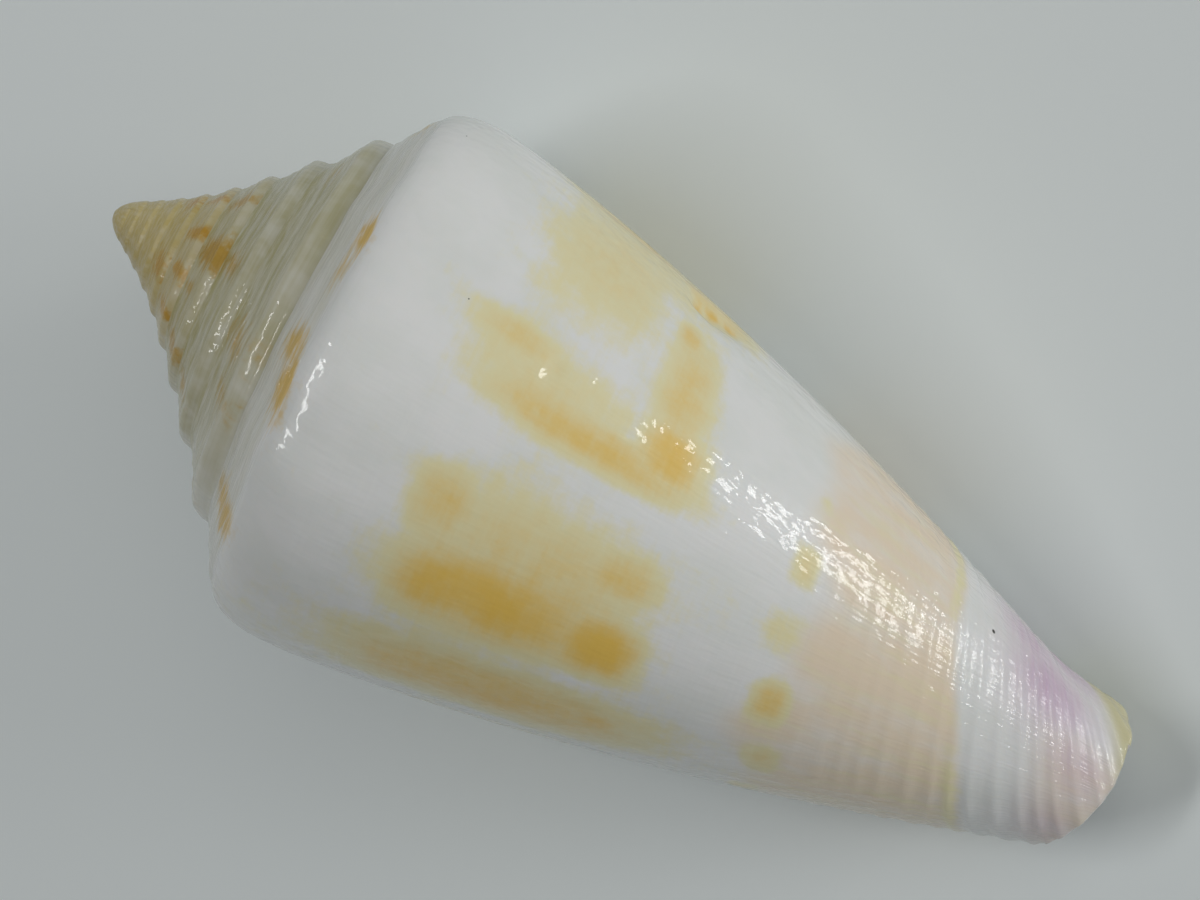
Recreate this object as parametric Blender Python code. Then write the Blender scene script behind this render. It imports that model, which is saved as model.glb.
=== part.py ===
"""A floridulus cone, Conus floridulus: one right-handed cone shell, lying on its aperture.

The shell is a sheet that winds about a straight axis and grows by the same share each turn. Each
half plane through the axis cuts it in a profile, given here as distances along the axis from the apex
and away from the axis. Growth is counted in turns: 0 is the outer lip and -1 is one turn earlier.
"""

import math

import bpy
import bmesh
import numpy as np

MM = 0.001

# Driving dimensions, in millimetres
BODY_RADIUS = 7.75
SHOULDER_SHARE = 0.979
STEP_SHARE = 0.10
RAMP_HOLLOW = 0.05
APEX_DOME = 0.15

# Growth for each turn
RADIUS_GROWTH = 1.33
LENGTH_GROWTH = 1.265
SPIRE_TURNS = 9.5

# Height of a shoulder below the apex, from its radius: a power, with a blunt first whorl
SPIRE_SLOPE = 1.275
SPIRE_POWER = 0.844
APEX_DEPTH = 0.5
APEX_RADIUS = 0.96

# Side of a whorl, from shoulder (0) to base (1)
SIDE_LEVEL = 1.041
SIDE_TAPER = 0.394
SIDE_BULGE = 0.357
SHOULDER_ROUND = 0.06
SHOULDER_REACH = 0.045
BASE_HEIGHT = 29.2

# Pillar along the axis, and the front end
PILLAR_RADIUS = 1.75
PILLAR_HEIGHT = 24.0
PILLAR_TAPER = 0.05
PILLAR_TIP = 28.0
PILLAR_ROUND_LENGTH = 1.0
PILLAR_ROUND_POWER = 2.5
PILLAR_BLEND = 0.25
PILLAR_THIN_SHARE = 0.55
PILLAR_THIN_TURN = -1.15
PILLAR_FULL_TURN = -0.90
CANAL_ROUND_TURN = -0.62
CANAL_OPEN_TURN = -0.50
MARGIN_PEAK = 27.92
MARGIN_PEAK_TURN = -0.40
MARGIN_DROP = 10.0
MARGIN_FILLED_LEAST = 27.2

# Wall and aperture
LIP_WALL = 0.35
DEEP_WALL = 0.70
FRONT_WALL_SHARE = 0.45
FRONT_WALL_FROM = 21.0
FRONT_WALL_TO = 27.0
SUTURE_WALL_SHARE = 1.2
LIP_ROUND = 0.10
EDGE_EASE_COLUMNS = 6
SLIT_COLUMNS = 24

# How it lies: turns from the lip to the side that faces +Y, the tilt of its axis, and the worn spots
SIDE_TURN = 0.615
AXIS_TILT = math.radians(12.0)
REST_FLAT = 0.10

# Mesh
TURN_COLUMNS = 48
RAMP_ROW = 3
SUTURE_ROW = 5
INNER_SUTURE_ROW = 7
MARGIN_ROW = 22
POLE_ROW = 26
ROW_EASE = 0.06
NORMAL_PASSES = 3

SHELL_COLOUR = (0.86, 0.83, 0.76, 1.0)
SHELL_ROUGHNESS = 0.22


def clear_scene():
    """Removes whatever the opened file holds."""
    for item in list(bpy.data.objects):
        bpy.data.objects.remove(item)


def body_radius(turn):
    """Largest radius of the whorl at this turn."""
    return BODY_RADIUS * RADIUS_GROWTH**turn


def shoulder(turn):
    """Radius and height of the shoulder ridge."""
    radius = SHOULDER_SHARE * body_radius(turn)
    height = SPIRE_SLOPE * radius**SPIRE_POWER
    height -= APEX_DEPTH * math.exp(-((radius / APEX_RADIUS) ** 2))
    return radius, height


def side_radius(turn, height):
    """Radius of the winding sheet at a height below its shoulder."""
    top = shoulder(turn)[1]
    base = BASE_HEIGHT * LENGTH_GROWTH**turn
    v = (height - top) / (base - top)
    straight = SIDE_LEVEL - SIDE_TAPER * v - SIDE_BULGE * v * v
    rounded = 1 - SHOULDER_ROUND * math.exp(-v / SHOULDER_REACH)
    return body_radius(turn) * max(straight, 0.0) * rounded


def eased_share(value, start, end):
    """0 before start and 1 past end, with an even slope at both."""
    share = min(max((value - start) / (end - start), 0.0), 1.0)
    return share * share * (3 - 2 * share)


def pillar_radius(turn, height):
    """Radius of the pillar on the axis, thinner inside the aperture, with a tip that is rounded
    off except where the canal opens."""
    full = eased_share(turn, PILLAR_THIN_TURN, PILLAR_FULL_TURN)
    radius = PILLAR_RADIUS - PILLAR_TAPER * (height - PILLAR_HEIGHT)
    radius *= PILLAR_THIN_SHARE + (1 - PILLAR_THIN_SHARE) * full
    past = min(max(1 - (PILLAR_TIP - height) / PILLAR_ROUND_LENGTH, 0.0), 1.0)
    past *= 1 - eased_share(turn, CANAL_ROUND_TURN, CANAL_OPEN_TURN)
    return radius * (1 - past**PILLAR_ROUND_POWER) ** (1 / PILLAR_ROUND_POWER)


def outer_radius(turn, height):
    """Sheet or pillar, whichever is wider, with a soft hollow where they meet."""
    sheet = side_radius(turn, height)
    pillar = pillar_radius(turn, height)
    middle = (sheet + pillar) / 2
    return middle + math.sqrt(((sheet - pillar) / 2) ** 2 + (PILLAR_BLEND / 2) ** 2)


def wall(turn):
    """Thickness of the wall, thin at the lip and full at the end of the slit."""
    depth = SLIT_COLUMNS / TURN_COLUMNS
    share = min(max(-turn / depth, 0.0), 1.0)
    return LIP_WALL + (DEEP_WALL - LIP_WALL) * share


def margin_height(turn):
    """Height at which the sheet ends at the front, highest near the middle of the back."""
    height = MARGIN_PEAK - MARGIN_DROP * (turn - MARGIN_PEAK_TURN) ** 2
    if turn < MARGIN_PEAK_TURN:
        return max(height, MARGIN_FILLED_LEAST)
    return height


def ramp_rows(turn):
    """Points from the suture out to the shoulder, slightly hollow past the domed first whorl."""
    radius, height = shoulder(turn)
    start_radius, start_height = suture_point(turn - 1)
    depth = RAMP_HOLLOW
    if turn < 1 - SPIRE_TURNS:
        start_radius, start_height = 0.0, 0.0
        depth = -APEX_DOME
    length = math.hypot(radius - start_radius, height - start_height)
    points = []
    for row in range(RAMP_ROW):
        share = row / RAMP_ROW
        hollow = depth * length * math.sin(math.pi * share)
        points.append((
            start_radius + share * (radius - start_radius),
            start_height + share * (height - start_height) + hollow,
        ))
    return points


def suture_point(turn):
    """Where the next whorl joins this one, just below the shoulder."""
    radius, height = shoulder(turn)
    height += STEP_SHARE * radius
    return side_radius(turn, height), height


def side_heights(turn):
    """Heights of the rows from the shoulder to the margin."""
    radius, top = shoulder(turn)
    joined = suture_point(turn)[1]
    inner = joined + SUTURE_WALL_SHARE * wall(turn + 1)
    margin = margin_height(turn)
    heights = list(np.linspace(top, joined, SUTURE_ROW - RAMP_ROW + 1))
    heights += list(np.linspace(joined, inner, INNER_SUTURE_ROW - SUTURE_ROW + 1))[1:]
    for share in np.linspace(0, 1, MARGIN_ROW - INNER_SUTURE_ROW + 1)[1:]:
        eased = share - ROW_EASE * math.sin(2 * math.pi * share)
        heights.append(inner + eased * (margin - inner))
    return heights


def front_rows(margin_point):
    """Points from the margin round the front end to the axis."""
    radius, height = margin_point
    points = []
    for angle in np.linspace(0, math.pi / 2, POLE_ROW - MARGIN_ROW + 1)[1:]:
        rounded = 1 - (1 - math.cos(angle)) ** (PILLAR_ROUND_POWER / 2)
        points.append((radius * rounded, height + (PILLAR_TIP - height) * math.sin(angle)))
    return points


def profile(turn):
    """All points of the outer profile, as rows of radius and height."""
    points = ramp_rows(turn)
    if turn < -2:
        for share in np.linspace(0, 1, SUTURE_ROW - RAMP_ROW + 1):
            radius, top = shoulder(turn)
            height = top + share * STEP_SHARE * radius
            points.append((side_radius(turn, height), height))
        return np.array(points)
    for height in side_heights(turn):
        points.append((outer_radius(turn, height), height))
    points += front_rows(points[-1])
    return np.array(points)


def inner_profile(turn):
    """The cavity side of the sheet: the outer profile set in by the wall."""
    outer = profile(turn)[: MARGIN_ROW + 1]
    along = np.gradient(outer, axis=0)
    inward = np.stack([-along[:, 1], along[:, 0]], axis=1)
    for _ in range(NORMAL_PASSES):
        inward /= np.linalg.norm(inward, axis=1)[:, None]
        padded = np.concatenate([inward[:1], inward, inward[-1:]])
        inward = (padded[:-2] + 2 * inward + padded[2:]) / 4
    inward /= np.linalg.norm(inward, axis=1)[:, None]
    front = np.array([eased_share(height, FRONT_WALL_FROM, FRONT_WALL_TO) for height in outer[:, 1]])
    thickness = wall(turn) * (1 - (1 - FRONT_WALL_SHARE) * front)
    points = outer + thickness[:, None] * inward
    points[0] = profile(turn - 1)[INNER_SUTURE_ROW]
    return points


def place(turn, points):
    """Rows of radius and height at this turn, as points about the tilted axis."""
    angle = 2 * math.pi * (turn + SIDE_TURN)
    radius, height = points[:, 0], points[:, 1]
    across = radius * math.cos(angle)
    up = radius * math.sin(angle)
    along = height * math.cos(AXIS_TILT) + up * math.sin(AXIS_TILT)
    raised = up * math.cos(AXIS_TILT) - height * math.sin(AXIS_TILT)
    return np.stack([along, across, raised], axis=1)


class Sheet:
    """Vertices and faces of the shell as they are added."""

    def __init__(self):
        self.points = []
        self.faces = []

    def add(self, point):
        self.points.append(tuple(point))
        return len(self.points) - 1

    def face(self, *corners):
        """Adds a face, leaving out a corner that repeats."""
        kept = [c for n, c in enumerate(corners) if c != corners[n - 1]]
        if len(kept) > 2:
            self.faces.append(kept)

    def strip(self, left, right):
        """Faces between two rows of vertices."""
        for row in range(len(left) - 1):
            self.face(left[row], right[row], right[row + 1], left[row + 1])


def outer_vertices(sheet, last, slit_start, first_inner, body_start):
    """Vertices of the outer face: one column for each step of growth."""
    apex = sheet.add(place(0.0, np.array([[0.0, 0.0]]))[0])
    pole = sheet.add(place(0.0, np.array([[0.0, PILLAR_TIP]]))[0])
    columns = []
    for column in range(last + 1):
        turn = (column - last) / TURN_COLUMNS
        points = place(turn, profile(turn))
        if column < TURN_COLUMNS:
            row_index = {0: apex}
        else:
            row_index = {0: columns[column - TURN_COLUMNS][SUTURE_ROW]}
        wanted = list(range(1, SUTURE_ROW + 1))
        if column >= body_start:
            wanted += range(SUTURE_ROW + 1, MARGIN_ROW + 1)
        elif column >= first_inner:
            wanted += range(INNER_SUTURE_ROW, MARGIN_ROW + 1)
        if first_inner <= column <= slit_start:
            wanted += range(MARGIN_ROW + 1, POLE_ROW)
            row_index[POLE_ROW] = pole
        for row in wanted:
            row_index[row] = sheet.add(points[row])
        columns.append(row_index)
    return columns


def rows_of(column, first, last):
    return [column[row] for row in range(first, last + 1)]


def between(first, second, lift):
    """The point halfway between two vertices, moved by lift."""
    return (np.array(first) + np.array(second)) / 2 + lift


def cavity(sheet, columns, last, slit_start):
    """The inside of the aperture, its rounded lip and margin, and the end of the slit."""
    inner = {}
    for column in range(slit_start, last + 1):
        turn = (column - last) / TURN_COLUMNS
        points = place(turn, inner_profile(turn))
        row_index = {0: columns[column - TURN_COLUMNS][INNER_SUTURE_ROW]}
        for row in range(1, MARGIN_ROW + 1):
            row_index[row] = sheet.add(points[row])
        inner[column] = row_index
    for column in range(slit_start, last):
        sheet.strip(rows_of(inner[column + 1], 0, MARGIN_ROW), rows_of(inner[column], 0, MARGIN_ROW))

    onward = place(1 / TURN_COLUMNS, np.array([[1.0, 0.0]]))[0] - place(0.0, np.array([[1.0, 0.0]]))[0]
    onward *= LIP_ROUND / np.linalg.norm(onward)
    forward = place(0.0, np.array([[0.0, LIP_ROUND]]))[0]
    lip = {0: columns[last - TURN_COLUMNS][SUTURE_ROW + 1]}
    for row in range(1, MARGIN_ROW + 1):
        ends = sheet.points[columns[last][row]], sheet.points[inner[last][row]]
        lip[row] = sheet.add(between(*ends, onward))
    edge = {last: lip[MARGIN_ROW]}
    for column in range(slit_start, last):
        ends = sheet.points[columns[column][MARGIN_ROW]], sheet.points[inner[column][MARGIN_ROW]]
        lift = forward * eased_share(column, slit_start, slit_start + EDGE_EASE_COLUMNS)
        edge[column] = sheet.add(between(*ends, lift))

    sheet.strip(rows_of(columns[last], 0, MARGIN_ROW), rows_of(lip, 0, MARGIN_ROW))
    sheet.strip(rows_of(lip, 0, MARGIN_ROW), rows_of(inner[last], 0, MARGIN_ROW))
    for column in range(slit_start, last):
        outer_pair = columns[column][MARGIN_ROW], columns[column + 1][MARGIN_ROW]
        edge_pair = edge[column], edge[column + 1]
        inner_pair = inner[column][MARGIN_ROW], inner[column + 1][MARGIN_ROW]
        sheet.face(outer_pair[0], outer_pair[1], edge_pair[1], edge_pair[0])
        sheet.face(edge_pair[0], edge_pair[1], inner_pair[1], inner_pair[0])

    end = rows_of(inner[slit_start], 0, MARGIN_ROW) + [edge[slit_start]]
    end += rows_of(columns[slit_start], MARGIN_ROW, POLE_ROW)
    end += rows_of(columns[slit_start - TURN_COLUMNS], INNER_SUTURE_ROW + 1, POLE_ROW - 1)[::-1]
    sheet.face(*end)


def shell_faces(sheet):
    """The whole closed surface of the shell."""
    last = round(SPIRE_TURNS * TURN_COLUMNS)
    body_start = last - TURN_COLUMNS
    slit_start = last - SLIT_COLUMNS
    first_inner = slit_start - TURN_COLUMNS
    columns = outer_vertices(sheet, last, slit_start, first_inner, body_start)
    for column in range(last):
        here, following = columns[column], columns[column + 1]
        sheet.strip(rows_of(here, 0, SUTURE_ROW), rows_of(following, 0, SUTURE_ROW))
        if column >= body_start:
            sheet.strip(
                rows_of(here, SUTURE_ROW, MARGIN_ROW), rows_of(following, SUTURE_ROW, MARGIN_ROW)
            )
        elif column >= first_inner:
            sheet.strip(
                rows_of(here, INNER_SUTURE_ROW, MARGIN_ROW),
                rows_of(following, INNER_SUTURE_ROW, MARGIN_ROW),
            )
        if first_inner <= column < slit_start:
            sheet.strip(rows_of(here, MARGIN_ROW, POLE_ROW), rows_of(following, MARGIN_ROW, POLE_ROW))
    sheet.face(*rows_of(columns[0], 0, SUTURE_ROW))
    cavity(sheet, columns, last, slit_start)


def stand_on_floor(points):
    """Centres the shell over the origin and flattens the spots that it lies on."""
    low = points.min(axis=0)
    high = points.max(axis=0)
    middle = (low + high) / 2
    points = points - [middle[0], middle[1], low[2] + REST_FLAT]
    points[:, 2] = np.maximum(points[:, 2], 0.0)
    return points


def shell_material():
    """Glossy cream shell."""
    material = bpy.data.materials.new("shell")
    material.use_nodes = True
    surface = material.node_tree.nodes["Principled BSDF"]
    surface.inputs["Base Color"].default_value = SHELL_COLOUR
    surface.inputs["Roughness"].default_value = SHELL_ROUGHNESS
    surface.inputs["Metallic"].default_value = 0.0
    return material


def make_shell():
    """The shell as one object, with its faces outward."""
    sheet = Sheet()
    shell_faces(sheet)
    points = stand_on_floor(np.array(sheet.points)) * MM
    mesh = bpy.data.meshes.new("shell")
    mesh.from_pydata(points.tolist(), [], sheet.faces)
    outward = bmesh.new()
    outward.from_mesh(mesh)
    bmesh.ops.recalc_face_normals(outward, faces=outward.faces[:])
    outward.to_mesh(mesh)
    outward.free()
    mesh.shade_smooth()
    mesh.materials.append(shell_material())
    item = bpy.data.objects.new("shell", mesh)
    bpy.context.scene.collection.objects.link(item)
    return item


clear_scene()
make_shell()
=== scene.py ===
"""Looks of the floridulus cone shell: its glazed surface, markings, fine relief, and a plain stage."""

import math

import bpy
import numpy as np
from mathutils import Matrix, Quaternion, Vector


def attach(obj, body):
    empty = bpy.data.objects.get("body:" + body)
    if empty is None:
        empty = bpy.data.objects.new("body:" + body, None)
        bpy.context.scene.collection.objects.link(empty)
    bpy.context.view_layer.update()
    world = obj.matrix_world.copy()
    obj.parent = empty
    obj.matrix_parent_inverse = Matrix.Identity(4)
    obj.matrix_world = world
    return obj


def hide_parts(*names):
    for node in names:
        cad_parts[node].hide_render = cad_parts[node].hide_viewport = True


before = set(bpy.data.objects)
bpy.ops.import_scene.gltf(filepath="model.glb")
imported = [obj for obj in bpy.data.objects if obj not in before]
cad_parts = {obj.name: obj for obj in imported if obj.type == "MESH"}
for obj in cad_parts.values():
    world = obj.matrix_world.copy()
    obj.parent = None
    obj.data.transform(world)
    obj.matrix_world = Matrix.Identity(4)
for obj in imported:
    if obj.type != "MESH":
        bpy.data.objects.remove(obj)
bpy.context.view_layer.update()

bl_info = {
    "name": "Floridulus Cone Shell",
    "version": (1, 0, 0),
    "blender": (4, 5, 0),
    "location": "3D View > Sidebar > Cone Shell",
    "description": "Adds a glossy cone shell with procedural markings, and a plain stage for it",
    "category": "Add Mesh",
}

MM = 0.001

# Driving dimensions of the shell in millimetres, turns and shares, the same as in the part's source
BODY_RADIUS = 7.75
SHOULDER_SHARE = 0.979
STEP_SHARE = 0.10
RAMP_HOLLOW = 0.05
APEX_DOME = 0.15
RADIUS_GROWTH = 1.33
LENGTH_GROWTH = 1.265
SPIRE_TURNS = 9.5
SPIRE_SLOPE = 1.275
SPIRE_POWER = 0.844
APEX_DEPTH = 0.5
APEX_RADIUS = 0.96
SIDE_LEVEL = 1.041
SIDE_TAPER = 0.394
SIDE_BULGE = 0.357
SHOULDER_ROUND = 0.06
SHOULDER_REACH = 0.045
BASE_HEIGHT = 29.2
PILLAR_RADIUS = 1.75
PILLAR_HEIGHT = 24.0
PILLAR_TAPER = 0.05
PILLAR_TIP = 28.0
PILLAR_ROUND_LENGTH = 1.0
PILLAR_ROUND_POWER = 2.5
PILLAR_BLEND = 0.25
PILLAR_THIN_SHARE = 0.55
PILLAR_THIN_TURN = -1.15
PILLAR_FULL_TURN = -0.90
PILLAR_FROM_TURN = -2.0
CANAL_ROUND_TURN = -0.62
CANAL_OPEN_TURN = -0.50
MARGIN_PEAK = 27.92
MARGIN_PEAK_TURN = -0.40
MARGIN_DROP = 10.0
MARGIN_FILLED_LEAST = 27.2
LIP_WALL = 0.35
DEEP_WALL = 0.70
FRONT_WALL_SHARE = 0.45
FRONT_WALL_FROM = 21.0
FRONT_WALL_TO = 27.0
SUTURE_WALL_SHARE = 1.2
LIP_ROUND = 0.10
SLIT_DEPTH = 0.5
EDGE_EASE = 0.125
SIDE_TURN = 0.615
AXIS_TILT = math.radians(12.0)
# Middle and lowest level of the part before it is set down, without the worn flat
MIDDLE_X = 13.8415
MIDDLE_Y = -0.4985
LOW_LEVEL = -7.5544

# Mesh: columns for each turn of growth, and the rows of a profile from suture to front end
TURN_COLUMNS = 144
RAMP_ROW = 12
SUTURE_ROW = 17
INNER_SUTURE_ROW = 19
MARGIN_ROW = 219
POLE_ROW = 231
FRONT_CROWDING = 0.35
NORMAL_PASSES = 30
SHORTEST = 1e-9
LAST = round(SPIRE_TURNS * TURN_COLUMNS)
BODY_START = LAST - TURN_COLUMNS
SLIT_START = LAST - round(SLIT_DEPTH * TURN_COLUMNS)
FIRST_INNER = SLIT_START - TURN_COLUMNS

# Fine relief, in millimetres, and how many threads and folds there are. The folds' waves are given as
# (swing, number of waves in a turn), and shift the folds
BASE_THREADS = 38
BASE_THREADS_FROM = 0.55
BASE_THREADS_FULL = 0.95
FINE_THREAD_SHARE = 0.35
THREAD_LEAN = 0.11
THREAD_DRIFT = 0.004
THREAD_DRIFT_WAVES = 9.0
RAMP_THREADS = 3
RAMP_THREAD_DEPTH = 0.04
FOLD_DEPTH = 0.05
FOLD_COUNT = 7
FOLD_REACH = 0.15
FOLD_WAVES = ((0.5, 2.3), (0.3, 5.7))
GLAZE_BUMP = 0.012
COAT_BUMP = 0.058

# Rounding of the shoulder ridge: rows on each side, and turns where it sets in and fades out
RIDGE_PASSES = 36
RIDGE_ROWS = 10
EARLY_RIDGE = 0.16
RIDGE_SETS_IN = (-1.1, -0.7)
RIDGE_FADES = (-0.25, -0.05)
HELD_RIDGE_SETS_IN = (-2.0, -1.0)

# Camera of the photograph, fitted to the shell's outline: place and lens in millimetres, directions,
# and the range that it sees in metres
CAMERA_PLACE = (13.547, 22.89, 70.773)
CAMERA_LOOK = (-0.2033, -0.3047, -0.9305)
CAMERA_UP = (-0.5337, 0.8312, -0.1556)
CAMERA_LENS = 86.97
SENSOR_WIDTH = 36.0
NEAREST_SEEN = 0.001
FARTHEST_SEEN = 10.0

# Marks as (turn, share of the side, half width in turns, half length in share, strength)
OCHRE_MARKS = (
    (-0.550, 0.27, 0.060, 0.10, 0.42),
    (-0.600, 0.30, 0.040, 0.14, 0.38),
    (-0.620, 0.42, 0.030, 0.075, 0.55),
    (-0.505, 0.412, 0.055, 0.042, 0.56),
    (-0.545, 0.395, 0.016, 0.022, 0.65),
    (-0.455, 0.425, 0.024, 0.045, 0.80),
    (-0.467, 0.215, 0.013, 0.075, 0.50),
    (-0.450, 0.27, 0.030, 0.120, 0.42),
    (-0.436, 0.328, 0.015, 0.150, 0.72),
    (-0.348, 0.340, 0.050, 0.142, 0.54),
    (-0.364, 0.215, 0.024, 0.045, 0.60),
    (-0.370, 0.43, 0.020, 0.050, 0.64),
    (-0.320, 0.308, 0.033, 0.122, 0.86),
    (-0.316, 0.240, 0.027, 0.055, 0.82),
    (-0.318, 0.435, 0.026, 0.050, 0.98),
    (-0.243, 0.34, 0.034, 0.200, 0.74),
    (-0.235, 0.35, 0.045, 0.420, 0.15),
    (-0.245, 0.46, 0.018, 0.040, 0.70),
    (-0.500, 0.62, 0.010, 0.012, 0.26),
    (-0.440, 0.62, 0.019, 0.020, 0.46),
    (-0.385, 0.62, 0.020, 0.028, 0.30),
    (-0.325, 0.635, 0.023, 0.025, 0.66),
    (-0.260, 0.65, 0.022, 0.026, 0.46),
    (-0.600, 0.395, 0.006, 0.010, 0.95),
    (-0.603, 0.415, 0.007, 0.014, 0.90),
    (-0.604, 0.443, 0.009, 0.014, 0.80),
    (-0.628, 0.28, 0.020, 0.11, 0.55),
    (-0.140, 0.32, 0.040, 0.150, 0.55),
    (-0.120, 0.43, 0.020, 0.050, 0.85),
    (-0.040, 0.28, 0.028, 0.110, 0.55),
    (-0.720, 0.30, 0.034, 0.140, 0.58),
    (-0.700, 0.42, 0.024, 0.050, 0.80),
    (-0.810, 0.34, 0.026, 0.120, 0.55),
    (-0.900, 0.27, 0.034, 0.120, 0.60),
    (-0.910, 0.42, 0.022, 0.045, 0.80),
    (-0.190, 0.64, 0.014, 0.018, 0.55),
    (-0.110, 0.63, 0.016, 0.020, 0.65),
    (-0.030, 0.64, 0.012, 0.016, 0.50),
    (-0.690, 0.63, 0.015, 0.018, 0.60),
    (-0.770, 0.64, 0.013, 0.016, 0.50),
    (-0.860, 0.63, 0.017, 0.020, 0.65),
    (-0.940, 0.64, 0.012, 0.015, 0.50),
)

# Flames of the spire as (turn, share of the ramp, half width in turns, half length in share, strength)
FLAMES = (
    (-0.400, -0.42, 0.013, 0.28, 0.85),
    (-0.378, -0.14, 0.015, 0.26, 1.00),
    (-0.357, -0.02, 0.012, 0.14, 0.75),
    (-0.280, -0.35, 0.015, 0.60, 0.85),
    (-0.476, -0.14, 0.014, 0.22, 0.90),
    (-0.456, -0.22, 0.016, 0.24, 0.42),
    (-0.150, -0.30, 0.022, 0.30, 0.75),
    (-0.060, -0.22, 0.020, 0.28, 0.80),
    (-0.600, -0.35, 0.018, 0.25, 0.45),
    (-0.720, -0.25, 0.024, 0.32, 0.80),
    (-0.860, -0.30, 0.022, 0.28, 0.75),
    (-1.050, -0.30, 0.026, 0.30, 0.75),
    (-1.200, -0.35, 0.022, 0.30, 0.55),
    (-1.372, -0.50, 0.022, 0.50, 0.50),
    (-1.330, -0.30, 0.014, 0.40, 0.45),
    (-1.560, -0.40, 0.022, 0.28, 0.35),
    (-1.720, -0.30, 0.028, 0.34, 0.80),
    (-1.900, -0.30, 0.026, 0.30, 0.75),
    (-2.080, -0.35, 0.030, 0.34, 0.70),
    (-2.265, -0.60, 0.018, 0.50, 0.60),
    (-2.430, -0.70, 0.018, 0.40, 0.66),
    (-2.700, -0.35, 0.032, 0.34, 0.75),
    (-2.900, -0.30, 0.034, 0.36, 0.75),
    (-3.120, -0.35, 0.034, 0.36, 0.80),
    (-3.280, -0.35, 0.020, 0.60, 0.80),
    (-3.370, -0.70, 0.014, 0.30, 0.60),
    (-3.435, -0.30, 0.026, 0.75, 0.95),
    (-3.535, -0.35, 0.022, 0.55, 0.70),
    (-3.820, -0.30, 0.040, 0.40, 0.85),
    (-4.060, -0.35, 0.040, 0.40, 0.85),
    (-4.295, -0.25, 0.021, 0.60, 0.72),
    (-4.380, -0.30, 0.019, 0.60, 0.75),
    (-4.460, -0.30, 0.019, 0.65, 0.85),
    (-4.560, -0.30, 0.022, 0.55, 0.70),
    (-4.880, -0.35, 0.045, 0.45, 0.90),
    (-5.150, -0.40, 0.045, 0.45, 0.60),
    (-5.355, -0.35, 0.045, 0.60, 0.60),
    (-5.570, -0.30, 0.045, 0.50, 0.60),
    (-5.800, -0.40, 0.050, 0.45, 0.70),
)

# Violet and pink stains near the front end, in the same way
VIOLET_MARKS = (
    (-0.500, 0.975, 0.078, 0.068, 1.00),
    (-0.560, 0.950, 0.060, 0.055, 0.80),
    (-0.400, 1.010, 0.080, 0.050, 0.55),
    (-0.620, 1.020, 0.080, 0.060, 0.80),
    (-0.250, 0.980, 0.090, 0.040, 0.45),
    (-0.750, 1.000, 0.090, 0.050, 0.60),
    (-0.900, 0.980, 0.080, 0.045, 0.55),
    (-0.100, 0.975, 0.080, 0.040, 0.50),
)

# Shallow dents, three of the worn scar beside the back and a small one in the mark at the middle, as
# (turn, share, depth and reach in millimetres)
SCAR_DENTS = (
    (-0.597, 0.392, 0.16, 0.35),
    (-0.596, 0.414, 0.17, 0.40),
    (-0.602, 0.445, 0.12, 0.42),
    (-0.462, 0.262, 0.05, 0.22),
)

# Dark specks as (turn, share, reach in share of the side), and the side's length in millimetres
SPECKS = (
    (-0.510, 0.880, 0.0024),
    (-0.470, 0.140, 0.0009),
    (-0.580, 0.040, 0.0012),
)
SIDE_LENGTH = 20.0

# Tan band: where it starts and ends in share of the side, the waves of its start in the same way as
# those of the folds, how soft its edges are, the dip of its end, the yellow stripe along its end, and
# the paler tan of the front tip
TAN_START = 0.635
TAN_START_WAVES = ((0.020, 4.3), (0.012, 11.0))
TAN_START_EDGE = 0.03
TAN_END = 0.834
TAN_END_EDGE = 0.02
TAN_END_TURN = -0.55
TAN_DIP = 0.026
TAN_DIP_TURN = -0.46
TAN_DIP_REACH = 0.09
STRIPE_STRENGTH = 0.30
STRIPE_REACH = 0.011
STRIPE_WAVES = 3.1
STRIPE_LEVEL = 0.6
STRIPE_CHANGE = 0.4
TIP_STRENGTH = 0.75
TIP_SHARES = (0.93, 1.0)
TIP_TURNS = (-0.48, -0.38)

# Where the tints set in and fade, in turns or in share, how strong the green is, and the powers that
# make the edges of the marks softer or harder
CREAM_FADES = (-5.2, -2.6)
GREEN_SETS_IN = (-5.5, -3.2)
GREEN_FADES = (-1.6, -0.6)
GREEN_FADE = 0.7
GREEN_RIDGE_SHARES = (-0.25, 0.0)
GREEN_RIDGE_TURNS = (-1.4, -0.9)
GREEN_SIDE_SHARES = (0.0, 0.03)
GREEN_SIDE_TURNS = (-1.1, -1.0)
# Green deepened in the ramps' thread grooves and just below the suture: partly the spire's own tint, partly
# painted shade of these hollows
GREEN_LEAST = 0.80
GREEN_GROOVES = 0.20
GREEN_SUTURE = 0.3
SUTURE_SHARES = (-0.98, -0.80)
RIM_SHARES = (1.055, 1.090)
RIM_TURNS = (-0.90, -0.70)
FLAME_END_SHARES = (-0.02, 0.03)
FLAME_END_TURNS = (-1.25, -0.95)
MARK_POWER = 2.6
VIOLET_POWER = 2.0
FLAME_POWER = 1.8

# Noise over the growth coordinates, as (stretch, detail, roughness)
STREAKS = ((70.0, 9.0, 0.0), 3.0, 0.6)
LINES = ((9.0, 120.0, 0.0), 2.0, 0.6)
CLOUDS = ((22.0, 8.0, 0.0), 3.0, 0.6)
BLOTCHES = ((62.0, 30.0, 0.0), 3.0, 0.7)
CLOSE_LINES = ((240.0, 24.0, 0.0), 1.0, 0.5)
SCRATCHES = ((20.0, 120.0, 0.0), 1.0, 0.5)
UNEVEN = ((80.0, 34.0, 0.0), 1.5, 0.5)

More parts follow.
